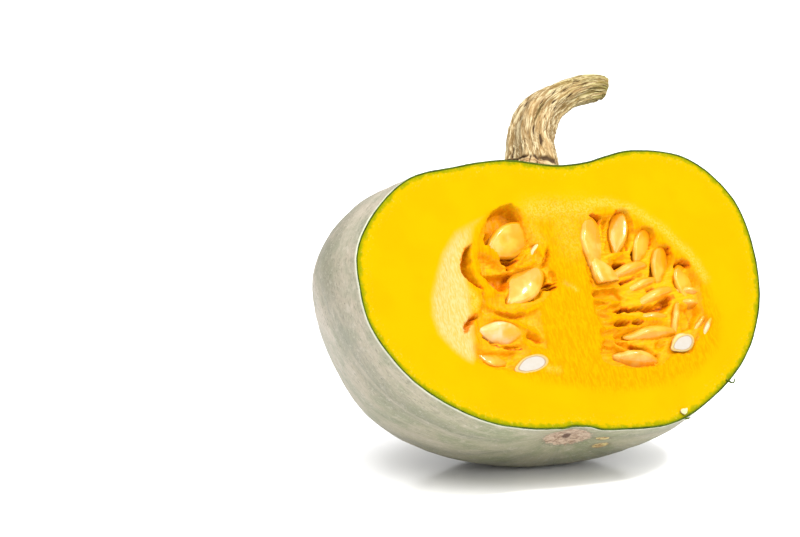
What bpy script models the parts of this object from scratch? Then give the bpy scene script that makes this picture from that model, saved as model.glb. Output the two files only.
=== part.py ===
"""A halved grey-skinned pumpkin, lying on its rounded back with the cut face up and to the front.

The fruit is shaped whole in its own frame, with its axis along Z from the blossom end to the stem,
and a knife plane in front of that axis takes its front away. The half is then leaned back onto
the spot that it rests on. World frame: +Z up, the floor at Z 0, the cut face towards -Y.
"""

import math

import bmesh
import bpy
from mathutils import Matrix, Vector

MM = 0.001

# How the half lies: leaned back, its right side a little lower, and pressed flat on the floor.
LEAN_BACK = math.radians(27.5)
RIGHT_SIDE_DOWN = math.radians(9.5)
FLAT_DEPTH = 0.8 * MM

# The whole fruit, as (distance from the axis, height) in mm from the stem end to the blossom end.
RIGHT_PROFILE = [
    (0, 60), (21.7, 65), (48, 74), (78.3, 72.5), (100.8, 54.2), (108.5, 24.6),
    (105, -3.9), (89.6, -30.2), (56.4, -55.3), (24, -61.5), (0, -60),
]
BACK_PROFILE = [
    (0, 60), (22.5, 62.6), (49, 67), (75.8, 60.8), (97, 43), (105, 15),
    (100.2, -11.5), (85.6, -39.2), (54.6, -59), (24, -63.8), (0, -60),
]
LEFT_PROFILE = [
    (0, 60), (24, 61.3), (49.6, 54.8), (72.6, 46.7), (91.3, 26.6), (100.7, 5),
    (95.4, -21.3), (81.2, -45.2), (52.4, -61), (24, -64.6), (0, -60),
]
RIB_COUNT = 10
RIB_DEPTH = 1.3 * MM
RIB_TURN = math.radians(9.0)
# Swellings of the skin: direction round the axis in degrees, height, reach round in degrees,
# reach up and down, and how far out.
SWELLINGS = [
    (171, 39.5, 14.5, 40, 11.7),
    (198, -22.5, 25, 15, 4.0),
    (34, -54.5, 34, 23.5, 5.2),
]
AROUND = 60
UP_AND_DOWN = 26

CUT_IN_FRONT = 14.5 * MM  # the knife passed this far in front of the axis, clear of the stem
RIND = 2.0 * MM
GAP = 0.3 * MM

# The seed cavity, and the shallow bevel on its left where the pulp came away: middle and half sizes.
CAVITY_MIDDLE = Vector((14, -2, 2)) * MM
CAVITY_HALF = Vector((63, 52, 43)) * MM
SCOOP_MIDDLE = Vector((-25, -9, -7)) * MM
SCOOP_HALF = Vector((41.5, 16, 46.5)) * MM
CAVITY_AROUND = 32
CAVITY_RINGS = 16

# Hollows in the pulp, in mm on the cut face: across, up, half width, half height, depth.
HOLLOWS = [
    (-30, 16, 26, 24, 10.0),
    (-33, -23, 24, 18, 6.5),
    (-44, -4, 17, 42, 6.0),
    (47, 8, 34, 32, 7.5),
    (46, -21, 30, 15, 5.5),
]
HOLLOW_RIM = 0.35  # share of a hollow's size over which its side slopes in
FRONT_SPARE = 0.8  # how far the block's front stands past the knife plane between the hollows
PULP_SIZE = Vector((150, 60, 100)) * MM
PULP_STEPS = (38, 26)

# Seeds, in mm and degrees: across, up, depth of the middle, turn in the face, turn about its
# own length, length.
SEEDS = [
    (-21, 27, 6.5, 34, 8, 21),
    (-9, 22, 7.0, 47, 78, 15),
    (-16, 5, 6.5, 46, -12, 25),
    (-33, -19, 3.0, 2, 35, 20),
    (-34, -29, 5.0, -4, -30, 18),
    (-19, -34, 1.5, 21, 62, 18),
    (19, 27, 3.5, 87, 25, 25),
    (35, 34, 5.0, 76, -30, 22),
    (47.5, 28.5, 5.0, 62, 25, 18),
    (56, 20, 5.0, 72, 28, 19),
    (67, 13, 6.0, 92, 20, 16),
    (24, 11, 1.5, -50, -40, 17),
    (40, 15.5, 6.0, 21, 68, 19),
    (43, 8.5, 6.0, 23, 72, 21),
    (51.5, 4.5, 6.0, 24, 70, 22),
    (69, 8.5, 5.5, -5, 64, 15),
    (69, 2.5, 6.0, -2, 70, 15),
    (48.5, -4.5, 6.0, 5, 74, 18),
    (60.5, -6, 4.5, 75, 62, 18),
    (48, -12, 5.0, 8, 60, 23),
    (59.5, -18.5, 2.5, 30, -62, 16),
    (70.5, -8, 4.5, 47, 60, 15),
    (37.5, -27, 5.0, -6, 48, 22),
]
SEED_WIDTH = 0.58  # of its length
SEED_THICKNESS = 0.23
SEED_TAPER = 0.34
SEED_SIDES = 10
SEED_RINGS = 6

# The stem's centre line in mm from the middle of the fruit, with its half width: across, back,
# up, half width.
STEM_LINE = [
    (-1, 1, 57, 14.5), (-0.8, 0.5, 62, 13.4), (0.2, 0, 67, 11.8), (0.6, -0.3, 72.5, 10.6),
    (0.6, -0.5, 79.5, 10.0), (3.1, -1, 89.2, 9.9), (7.6, -2, 96.3, 9.0), (15, -3, 101.2, 7.6),
    (22.9, -4, 104.7, 6.6), (30.6, -5, 106.8, 6.0), (37.5, -6, 107.9, 5.3), (41.5, -6.5, 107.4, 4.4),
]
STEM_RIBS = 6
STEM_RIB_DEPTH = 0.12
STEM_SIDES = 24
STEM_SMOOTHING = 2
STEM_TWIST = math.radians(40.0)

# Base colour and roughness.
RIND_LOOK = ((0.52, 0.53, 0.44), 0.45)
FLESH_LOOK = ((1.0, 0.62, 0.02), 0.35)
PULP_LOOK = ((0.98, 0.46, 0.03), 0.3)
STEM_LOOK = ((0.72, 0.60, 0.36), 0.85)

# From the fruit's own frame to how it lies.
LYING = Matrix.Rotation(-LEAN_BACK, 4, "X") @ Matrix.Rotation(RIGHT_SIDE_DOWN, 4, "Y")


def clear_scene():
    for obj in list(bpy.data.objects):
        bpy.data.objects.remove(obj)


def new_collection(name, shown):
    collection = bpy.data.collections.new(name)
    collection.hide_render = not shown
    bpy.context.scene.collection.children.link(collection)
    return collection


def material(name, look):
    colour, roughness = look
    made = bpy.data.materials.new(name)
    made.use_nodes = True
    shader = made.node_tree.nodes["Principled BSDF"]
    shader.inputs["Base Color"].default_value = (*colour, 1)
    shader.inputs["Roughness"].default_value = roughness
    shader.inputs["Metallic"].default_value = 0.0
    return made


def object_from(name, bm, collection):
    """A mesh object from a bmesh, with its faces turned out."""
    bmesh.ops.recalc_face_normals(bm, faces=bm.faces)
    mesh = bpy.data.meshes.new(name)
    bm.to_mesh(mesh)
    bm.free()
    obj = bpy.data.objects.new(name, mesh)
    collection.objects.link(obj)
    if obj.users_collection[0].hide_render:
        obj.hide_render = True
        obj.display_type = "WIRE"
    return obj


def finish(obj, look):
    obj.data.materials.clear()
    obj.data.materials.append(material(obj.name, look))
    obj.data.shade_smooth()
    obj.data.set_sharp_from_angle(angle=math.radians(25))


def boolean(obj, operation, other=None, collection=None):
    modifier = obj.modifiers.new(operation.title(), "BOOLEAN")
    modifier.operation = operation
    if collection:
        modifier.operand_type = "COLLECTION"
        modifier.collection = collection
        modifier.solver = "MANIFOLD"
    else:
        modifier.object = other
        modifier.solver = "EXACT"


def apply_modifiers(obj):
    graph = bpy.context.evaluated_depsgraph_get()
    made = bpy.data.meshes.new_from_object(obj.evaluated_get(graph))
    obj.modifiers.clear()
    obj.data = made


def smooth_step(low, high, value):
    share = min(1.0, max(0.0, (value - low) / (high - low)))
    return share * share * (3 - 2 * share)


def along(points, share):
    """The point at a share of the way along a Catmull-Rom curve through the points."""
    place = share * (len(points) - 1)
    start = min(int(place), len(points) - 2)
    t = place - start
    before, a, b, after = (
        Vector(points[min(max(start + step, 0), len(points) - 1)]) for step in (-1, 0, 1, 2)
    )
    return 0.5 * (
        2 * a + (b - before) * t + (2 * before - 5 * a + 4 * b - after) * t**2
        + (3 * a - before - 3 * b + after) * t**3
    )


def fruit_point(turn, share):
    """A point of the whole fruit's skin: turn runs round the axis from the right over the back,
    and share from the stem end to the blossom end."""
    right = max(0.0, math.cos(turn)) ** 2
    left = max(0.0, -math.cos(turn)) ** 2
    profile = (
        along(RIGHT_PROFILE, share) * right
        + along(LEFT_PROFILE, share) * left
        + along(BACK_PROFILE, share) * (1 - right - left)
    ) * MM
    groove = 1 - abs(math.sin(RIB_COUNT / 2 * (turn + RIB_TURN))) ** 0.7
    out = max(0.0, profile.x - RIB_DEPTH * groove * math.sin(math.pi * share) ** 0.7)
    for middle, height, reach_round, reach_up, swelling in SWELLINGS:
        aside = (math.degrees(turn) - middle + 180) % 360 - 180
        level = (profile.y / MM - height) / reach_up
        out += swelling * MM * math.exp(-((aside / reach_round) ** 2) - level**2) * math.sin(math.pi * share)
    return Vector((out * math.cos(turn), out * math.sin(turn), profile.y))


def whole_fruit(inset, floor):
    """The whole fruit's skin, lying on the floor, moved in by the inset."""
    bm = bmesh.new()
    bmesh.ops.create_uvsphere(bm, u_segments=AROUND, v_segments=UP_AND_DOWN, radius=1)
    for vertex in bm.verts:
        share = math.acos(max(-1.0, min(1.0, vertex.co.z))) / math.pi
        vertex.co = fruit_point(math.atan2(vertex.co.y, vertex.co.x), share)
    # Triangles made before the inset are the same for each skin, so that the skins nest.
    bmesh.ops.triangulate(bm, faces=bm.faces)
    bm.normal_update()
    moves = [-vertex.normal * inset for vertex in bm.verts]
    for vertex, move in zip(bm.verts, moves):
        vertex.co += move
    return lay_down(bm, floor)


def floor_height():
    """How low the half reaches as it lies, less the depth that its resting spot is pressed in."""
    lowest = 1.0
    for turn_step in range(4 * AROUND):
        for step in range(4 * UP_AND_DOWN):
            point = fruit_point(math.tau * turn_step / (4 * AROUND), step / (4 * UP_AND_DOWN))
            if point.y > -CUT_IN_FRONT:
                lowest = min(lowest, (LYING @ point).z)
    return lowest + FLAT_DEPTH


def slice_off(bm, point, direction):
    """Cuts away what lies beyond a plane and closes the cut."""
    everything = bm.verts[:] + bm.edges[:] + bm.faces[:]
    cut = bmesh.ops.bisect_plane(
        bm, geom=everything, plane_co=point, plane_no=direction, clear_outer=True, dist=1e-7
    )["geom_cut"]
    bmesh.ops.holes_fill(bm, edges=[edge for edge in cut if isinstance(edge, bmesh.types.BMEdge)])
    return bm


def knife(bm, floor):
    """Cuts away what is in front of the knife plane."""
    point = LYING @ Vector((0, -CUT_IN_FRONT, 0)) - Vector((0, 0, floor))
    return slice_off(bm, point, LYING.to_3x3() @ Vector((0, -1, 0)))


def lay_down(bm, floor):
    """Moves a shape made in the fruit's own frame to where the half lies."""
    bmesh.ops.transform(bm, matrix=Matrix.Translation((0, 0, -floor)) @ LYING, verts=bm.verts)
    return bm


def ellipsoid(middle, half, inset=0.0):
    """An ellipsoid in the fruit's frame, its middle measured from the knife plane."""
    bm = bmesh.new()
    bmesh.ops.create_uvsphere(bm, u_segments=CAVITY_AROUND, v_segments=CAVITY_RINGS, radius=1)
    size = half - Vector((inset, inset, inset))
    bmesh.ops.scale(bm, vec=size, verts=bm.verts)
    bmesh.ops.translate(bm, vec=middle + Vector((0, -CUT_IN_FRONT, 0)), verts=bm.verts)
    return bm


def hollow_depth(across, up):
    """How far the block's front lies behind the cut face there, in mm."""
    depth = 0.0
    for middle_across, middle_up, half_width, half_height, deepest in HOLLOWS:
        reach = math.hypot((across - middle_across) / half_width, (up - middle_up) / half_height)
        depth = max(depth, deepest * (1 - smooth_step(1 - HOLLOW_RIM, 1, reach)))
    return depth - FRONT_SPARE


def pulp_block():
    """A block behind the cut face whose front has the hollows pressed into it."""
    bm = bmesh.new()
    bmesh.ops.create_grid(bm, x_segments=PULP_STEPS[0], y_segments=PULP_STEPS[1], size=0.5)
    across, back, up = PULP_SIZE
    for vertex in bm.verts:
        u, v = vertex.co.x * across + CAVITY_MIDDLE.x, vertex.co.y * up + CAVITY_MIDDLE.z
        depth = hollow_depth(u / MM, v / MM) * MM
        vertex.co = Vector((u, -CUT_IN_FRONT + depth, v))
    sides = bmesh.ops.extrude_face_region(bm, geom=bm.faces[:])["geom"]
    moved = [vertex for vertex in sides if isinstance(vertex, bmesh.types.BMVert)]
    for vertex in moved:
        vertex.co.y = back
    return bm


def seed(across, up, depth, turn, roll, length):
    """One seed in the fruit's frame: a flat drop with its tip at the low end of its length."""
    bm = bmesh.new()
    bmesh.ops.create_uvsphere(bm, u_segments=SEED_SIDES, v_segments=SEED_RINGS, radius=0.5)
    for vertex in bm.verts:
        end = 2 * vertex.co.z
        narrowing = 1 - SEED_TAPER * max(0.0, -end) ** 1.5
        vertex.co = Vector((vertex.co.z, vertex.co.y * SEED_THICKNESS, vertex.co.x * SEED_WIDTH * narrowing))
    place = Vector((across, depth, up)) * MM + Vector((0, -CUT_IN_FRONT, 0))
    turned = Matrix.Rotation(-math.radians(turn), 4, "Y") @ Matrix.Rotation(math.radians(roll), 4, "X")
    bmesh.ops.transform(
        bm, matrix=Matrix.Translation(place) @ turned @ Matrix.Scale(length * MM, 4), verts=bm.verts
    )
    return bm


def stem_body():
    """The stem in the fruit's frame: ribbed rings swept along its bent centre line."""
    bm = bmesh.new()
    line = [along(STEM_LINE, step / (STEM_SMOOTHING * len(STEM_LINE)))
            for step in range(STEM_SMOOTHING * len(STEM_LINE) + 1)]
    last = len(line) - 1
    rings = []
    for index, (across, back, up, half) in enumerate(line):
        ahead, behind = line[min(index + 1, last)], line[max(index - 1, 0)]
        heading = Vector((ahead - behind)[:3])
        tilted = Vector((0, 0, 1)).rotation_difference(heading).to_matrix().to_4x4()
        ring = bmesh.ops.create_circle(bm, segments=STEM_SIDES, radius=1)["verts"]
        for vertex in ring:
            angle = math.atan2(vertex.co.y, vertex.co.x) + STEM_TWIST * index / last
            vertex.co *= half * (1 + STEM_RIB_DEPTH * math.cos(STEM_RIBS * angle))
        bmesh.ops.transform(bm, matrix=Matrix.Translation((across, back, up)) @ tilted, verts=ring)
        rings.append([edge for edge in bm.edges if edge.verts[0] in ring and edge.verts[1] in ring])
    for lower, upper in zip(rings, rings[1:]):
        bmesh.ops.bridge_loops(bm, edges=lower + upper)
    bmesh.ops.holes_fill(bm, edges=rings[0])
    bmesh.ops.holes_fill(bm, edges=rings[-1])
    bmesh.ops.scale(bm, vec=(MM, MM, MM), verts=bm.verts)
    return bm


def make_rind(parts, cutters, floor):
    half = slice_off(knife(whole_fruit(0, floor), floor), Vector((0, 0, 0)), Vector((0, 0, -1)))
    rind = object_from("rind", half, parts)
    inside = object_from("inside_of_rind", whole_fruit(RIND, floor), cutters)
    boolean(rind, "DIFFERENCE", inside)
    finish(rind, RIND_LOOK)


def make_flesh(parts, cutters, floor):
    flesh = object_from("flesh", knife(whole_fruit(RIND + GAP, floor), floor), parts)
    cavity = object_from("cavity", lay_down(ellipsoid(CAVITY_MIDDLE, CAVITY_HALF), floor), cutters)
    scoop = object_from("scoop", lay_down(ellipsoid(SCOOP_MIDDLE, SCOOP_HALF), floor), cutters)
    boolean(flesh, "DIFFERENCE", cavity)
    boolean(flesh, "DIFFERENCE", scoop)
    finish(flesh, FLESH_LOOK)


def make_seed_pulp(parts, cutters, seeds, floor):
    pulp = object_from("seed_pulp", lay_down(pulp_block(), floor), parts)
    for index, place in enumerate(SEEDS):
        object_from(f"seed_{index + 1:02d}", lay_down(seed(*place), floor), seeds)
    boolean(pulp, "UNION", collection=seeds)
    apply_modifiers(pulp)
    for obj in list(seeds.objects):
        bpy.data.objects.remove(obj)
    fill = lay_down(ellipsoid(CAVITY_MIDDLE, CAVITY_HALF, GAP), floor)
    boolean(pulp, "INTERSECT", object_from("room_for_pulp", knife(fill, floor), cutters))
    finish(pulp, PULP_LOOK)


def make_stem(parts, cutters, floor):
    stem = object_from("stem", lay_down(stem_body(), floor), parts)
    top = object_from("top_of_fruit", whole_fruit(-GAP, floor), cutters)
    boolean(stem, "DIFFERENCE", top)
    apply_modifiers(stem)
    finish(stem, STEM_LOOK)


def centre_on_origin(parts, cutters):
    """Moves everything sideways so that the half's box is centred over the origin."""
    bpy.context.view_layer.update()
    graph = bpy.context.evaluated_depsgraph_get()
    corners = [
        obj.matrix_world @ vertex.co
        for obj in parts.objects
        for vertex in obj.evaluated_get(graph).data.vertices
    ]
    middle = [(min(c[axis] for c in corners) + max(c[axis] for c in corners)) / 2 for axis in (0, 1)]
    for obj in list(parts.objects) + list(cutters.objects):
        obj.location = (-middle[0], -middle[1], 0)


def main():
    clear_scene()
    parts = new_collection("Halved pumpkin", True)
    cutters = new_collection("Cutters", False)
    seeds = new_collection("Seeds to join", False)
    floor = floor_height()
    make_rind(parts, cutters, floor)
    make_flesh(parts, cutters, floor)
    make_seed_pulp(parts, cutters, seeds, floor)
    make_stem(parts, cutters, floor)
    centre_on_origin(parts, cutters)


main()
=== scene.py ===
"""The looks of the halved pumpkin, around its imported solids.

Shapes are made in the fruit's own frame, in millimetres: X across the cut face, Y to the back and Z
up along the axis, with the knife plane just in front of the axis. lay_down then puts them where the
solids lie, in metres. Depth is measured behind the knife plane.
"""

import math

import bmesh
import bpy
import numpy as np
from mathutils import Matrix, Vector, noise


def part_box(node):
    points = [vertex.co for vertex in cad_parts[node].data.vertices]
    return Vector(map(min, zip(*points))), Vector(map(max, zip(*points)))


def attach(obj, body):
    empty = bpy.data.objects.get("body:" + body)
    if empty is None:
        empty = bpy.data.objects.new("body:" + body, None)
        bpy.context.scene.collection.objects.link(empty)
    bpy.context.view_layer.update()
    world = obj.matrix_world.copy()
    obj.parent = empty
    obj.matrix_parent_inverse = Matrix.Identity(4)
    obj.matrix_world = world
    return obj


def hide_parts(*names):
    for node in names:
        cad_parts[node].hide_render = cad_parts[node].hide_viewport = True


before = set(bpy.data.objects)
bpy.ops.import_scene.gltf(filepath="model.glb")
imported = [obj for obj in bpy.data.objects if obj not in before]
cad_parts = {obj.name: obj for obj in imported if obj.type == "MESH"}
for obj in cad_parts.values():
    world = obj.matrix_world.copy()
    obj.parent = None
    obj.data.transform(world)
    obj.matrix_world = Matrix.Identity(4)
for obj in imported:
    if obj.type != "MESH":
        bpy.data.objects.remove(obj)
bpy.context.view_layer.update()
noise.seed_set(5)  # else vector noise differs from run to run

MM = 0.001

# How the half lies and where the knife passed, as in the solids.
LEAN_BACK = math.radians(27.5)
RIGHT_SIDE_DOWN = math.radians(9.5)
PRESSED_IN = 0.8
CUT_IN_FRONT = 14.5

# The whole fruit, as (distance from the axis, height) from the stem end to the blossom end.
RIGHT_PROFILE = [
    (0, 60), (21.7, 65), (48, 74), (78.3, 72.5), (100.8, 54.2), (108.5, 24.6), (105, -3.9), (89.6, -30.2),
    (56.4, -55.3), (24, -61.5), (0, -60),
]
BACK_PROFILE = [
    (0, 60), (22.5, 62.6), (49, 67), (75.8, 60.8), (97, 43), (105, 15), (100.2, -11.5), (85.6, -39.2),
    (54.6, -59), (24, -63.8), (0, -60),
]
LEFT_PROFILE = [
    (0, 60), (24, 61.3), (49.6, 54.8), (72.6, 46.7), (91.3, 26.6), (100.7, 5), (95.4, -21.3), (81.2, -45.2),
    (52.4, -61), (24, -64.6), (0, -60),
]
RIB_COUNT = 10
RIB_DEPTH = 1.3
RIB_TURN = math.radians(9.0)
RIB_SHADE_TURN = math.radians(5.0)  # for the painted shade along the grooves
# Swellings: direction round the axis in degrees, height, reach round in degrees, reach up and
# down, and how far out.
SWELLINGS = [
    (171, 39.5, 14.5, 40, 11.7),
    (198, -22.5, 25, 15, 4.0),
    (34, -54.5, 34, 23.5, 5.2),
]

SKIN = 0.8  # how thick the dark skin at the cut edge is
SKIN_AROUND = 280
SKIN_UP = 150
SKIN_ROUGH = 0.16
SKIN_GRAIN = 6
FLESH_INSET = 0.9 * SKIN

# The blossom's scar, its dark pip and two strips of cork beside it: middle and reach each way.
SCARS = [
    ((3.5, 0.5, -60.8), (11.5, 10.5, 6)),
    ((3.8, 1.5, -60.8), (2.2, 3.6, 6)),
    ((25.2, 9.0, -61.4), (4.2, 3.6, 9)),
    ((21.0, -0.5, -61.6), (3.6, 2.2, 9)),
]
# A notch in the rim by the blossom's scar: across, back, reach and height.
NOTCH = (2.6, -14.5, 7.5, 1.2)

FACE_MIDDLE = Vector((5, 0, 3))
FACE_AROUND = 120
FACE_UP = 72
FACE_EDGE = 1.25
FACE_OUTER_RINGS = 18
FACE_INNER_RINGS = 140
FACE_INNER_SHARE = 0.78
FACE_LAST_SHARE = 0.004
FACE_BACK = 0.05  # the face stands this far behind the knife plane, inside the skin's edge
WET_DEPTH = 1.2  # the pulp is wet below this depth, apart from the bevel
DRY_BEVEL = 0.3
WAVE_TABLE = 64
WAVE_SHIFT = (17.3, 9.7)

# The pale shallow bevel on the left, where the pulp came away from the wall.
BEVEL = [
    (-35, 34), (-42, 31), (-52, 25), (-59.5, 14), (-64, 2), (-67, -7), (-67.5, -16), (-65, -24.5),
    (-59, -31), (-53.5, -35), (-49, -37), (-45, -31.5), (-46, -25), (-46, -20), (-46, -14.5), (-46, -9),
    (-46, -2), (-47, 3), (-48, 9), (-47, 14), (-43, 20), (-41, 27),
]
# Hollows in the pulp: depth, how far in its side reaches, and its outline on the face.
PITS = [
    (2.2, 4, [
        (-34.9, 33.8), (-25.1, 40.8), (-16.2, 39.2), (-12.6, 30.4), (-8.2, 23.6), (-4.6, 15.4), (-1.7, 7.2),
        (-2.5, 1.1), (-8.4, -5.4), (-10.5, -11.5), (-8.9, -20.3), (-9.2, -27.4), (-16.4, -29.1),
        (-26.4, -38), (-36.7, -39.2), (-47.1, -37), (-51, -26.2), (-51.9, -19.9), (-44.4, -11.7),
        (-40.8, -7.9), (-40.8, -2), (-50, 6.2), (-48.5, 14), (-43.4, 20.4),
    ]),
    (9.5, 1.6, [
        (-33.7, 32.4), (-30.7, 36.7), (-25.1, 40.1), (-20.9, 40.8), (-17.4, 38.2), (-15.9, 33.2),
        (-13.9, 27.9), (-14.2, 22.4), (-17.3, 17.9), (-21.4, 14), (-25.1, 12.1), (-28.2, 13.4),
        (-31.7, 16.7), (-35.1, 20), (-35.4, 26.6),
    ]),
    (8, 1, [
        (-43.1, 20.2), (-46.3, 17.2), (-48.8, 12.8), (-49.9, 8), (-49.2, 4.5), (-47, 1.7), (-43.7, -0.1),
        (-40.2, -1.4), (-40.6, -0.2), (-43.1, 2.9), (-44.6, 6.6), (-44.6, 12), (-44, 16.2),
    ]),
    (5, 4.5, [
        (-42.9, 18.7), (-35.3, 18.2), (-28.2, 13.4), (-22.6, 11.5), (-25.3, 5.2), (-29.9, -1.7),
        (-34.9, -0.9), (-41.2, 5.1), (-43.3, 12.1),
    ]),
    (10, 1.6, [
        (-41, 6.9), (-36.5, 7.8), (-30.6, 8.6), (-25.1, 9.3), (-20.3, 8.9), (-24.1, 4.1), (-26.6, -0.8),
        (-28.9, -1.7), (-32.4, -1.3), (-36, 1.1), (-39.4, 4.1),
    ]),
    (5.5, 2, [
        (-24.8, 8.9), (-20.7, 11), (-14.7, 12.7), (-7.6, 12.1), (-4.3, 7.6), (-5.6, 2.1), (-9.4, -2.4),
        (-14.9, -5.3), (-21.5, -6.4), (-28, -7.8), (-29.1, -5.8), (-26.5, 0.4),
    ]),
    (6, 0.9, [
        (-43.8, -12.5), (-46.8, -13.9), (-50.3, -17.1), (-52, -19.9), (-51.2, -21.6), (-48.3, -18.2),
        (-46, -15.9), (-42.4, -13.8),
    ]),
    (5, 2, [
        (-42.8, -20.4), (-37.2, -15.9), (-31.4, -14.8), (-25.8, -16.2), (-22.4, -19.5), (-23.5, -23.7),
        (-28.9, -26.4), (-35.2, -26.3), (-41.3, -23.8),
    ]),
    (4.5, 3, [
        (-46.4, -24.2), (-42.9, -27.4), (-35.4, -27.5), (-25.1, -26.7), (-22.9, -29.5), (-26.7, -35.1),
        (-27.7, -38), (-35.4, -38.6), (-42.7, -36.7), (-46.1, -32.9),
    ]),
    (3.6, 2, [
        (-14.2, 25.4), (-12, 24.4), (-8.3, 22.9), (-10.9, 17.3), (-14.5, 14.5), (-19.9, 12.3), (-21.4, 14),
        (-17.3, 17.9), (-14.6, 22.4),
    ]),
    (3, 4, [
        (13.8, 12.1), (12.2, 20.5), (14.5, 32.9), (19.2, 39.2), (26.8, 40.8), (31.7, 42.5), (36, 44.2),
        (39.7, 41.4), (41.6, 35.4), (47.1, 35.9), (52.3, 34.5), (53.1, 30.2), (58.3, 28.2), (61, 23.5),
        (64.2, 21.6), (69.6, 21.1), (72.9, 15.8), (74.8, 9.8), (75.1, 2.4), (74.9, -3.8), (78.1, -5.4),
        (76.8, -9.7), (70, -13.9), (68.1, -17.7), (63.3, -22.9), (56.1, -25.8), (47.4, -30.6),
        (35.2, -32.1), (24, -32.2), (16.8, -31.5), (14.9, -25.7), (16.3, -20.2), (17.7, -14.1),
        (14.7, -7.2), (15, 0.7),
    ]),
    (6.5, 1, [(18.9, 39.2), (22.3, 39.6), (26.3, 39.4), (25.4, 36.3), (24, 34.7), (22.3, 36.7)]),
    (5.8, 2, [
        (25.9, 39.2), (30.8, 40.6), (31.1, 37.5), (28.9, 31.1), (26.6, 23.6), (25.2, 23.5), (25.8, 27.8),
        (25.2, 33.9),
    ]),
    (6.5, 1.4, [
        (30.6, 39.3), (32.3, 42), (35.9, 43.7), (38.5, 42.9), (40.2, 37.7), (40.2, 30.3), (37.8, 24.5),
        (35.9, 23.2), (29.1, 22.6), (25.8, 22.9), (28.4, 32.3),
    ]),
    (6.5, 1.1, [
        (43.8, 31.9), (47, 35.6), (51, 35.1), (52.6, 32.7), (50.9, 26.9), (48.6, 22.4), (44.9, 19.6),
        (40, 18.9), (39.8, 22.3),
    ]),
    (6.5, 1.1, [
        (52.2, 24), (54.7, 27.3), (58.9, 27.9), (60.8, 22.8), (59.4, 17.2), (55.8, 10.7), (51.6, 9.7),
        (48.1, 11.3), (48.6, 17.5),
    ]),
    (8.5, 0.8, [(61.6, 18.3), (63, 20.6), (65.5, 21.5), (68.5, 20.9), (68.9, 18.9), (66.4, 17.7)]),
    (4.6, 3, [
        (60.8, 17.3), (69.2, 18.6), (73.5, 14.6), (74.6, 8.5), (71.5, 5.8), (64.5, 4.6), (59.4, 7.3),
        (58.1, 12.1),
    ]),
    (9, 1, [(28.3, 17.1), (31.3, 18.5), (36, 18.9), (35, 16.3), (32.7, 14), (29.9, 13.5)]),
    (8.5, 1, [(31.4, 8.4), (35.5, 10.3), (41.3, 13.2), (45.3, 15.5), (44.7, 13.2), (38.1, 9.6), (32.3, 6)]),
    (7.5, 0.8, [(43.9, 5.1), (49.4, 8.2), (50.3, 7.2), (46.2, 4.3)]),
    (9, 1.2, [
        (24.3, -6.7), (29.7, -3.9), (36.5, -2.8), (42, -1.4), (48.9, -0.3), (53.3, 2.5), (57, 4.7),
        (59.5, 3), (57.5, -1.4), (53, -5.1), (45.5, -5.1), (38.9, -5), (30.7, -6.4),
    ]),
    (5, 2, [
        (17.5, 4.5), (31.2, 7.5), (32, 3.9), (37, 1.2), (31.2, -2.3), (24.5, -2.8), (18, -2.1), (15.7, 0.8),
    ]),
    (6.5, 2, [(62.7, 1.4), (72.4, 2.2), (73.7, -2.6), (69.9, -10.3), (67.5, -12.3), (61.3, -13.3)]),
    (5.5, 2, [
        (24, -16.7), (35.1, -12.8), (55.6, -10.1), (56.7, -12.5), (50.5, -17.8), (37, -18.7), (26.1, -20.7),
    ]),
    (8, 1.2, [
        (34.7, -20.7), (39.4, -21), (44.5, -22.7), (49.6, -24.5), (47.8, -27.6), (42.1, -25.3),
        (36.9, -24.4),
    ]),
    (5.5, 2, [(46.5, -18), (50.8, -15.9), (54, -16.9), (53.4, -21.2), (49.8, -23.2), (46, -21.7)]),
    (5, 2, [
        (15.7, -25), (19.5, -20.6), (25.4, -21.4), (33.6, -24.4), (42.5, -27.4), (48.3, -28.8), (46, -31),
        (35.2, -32.4), (23.3, -32.6), (17.5, -31.5),
    ]),
]
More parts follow.
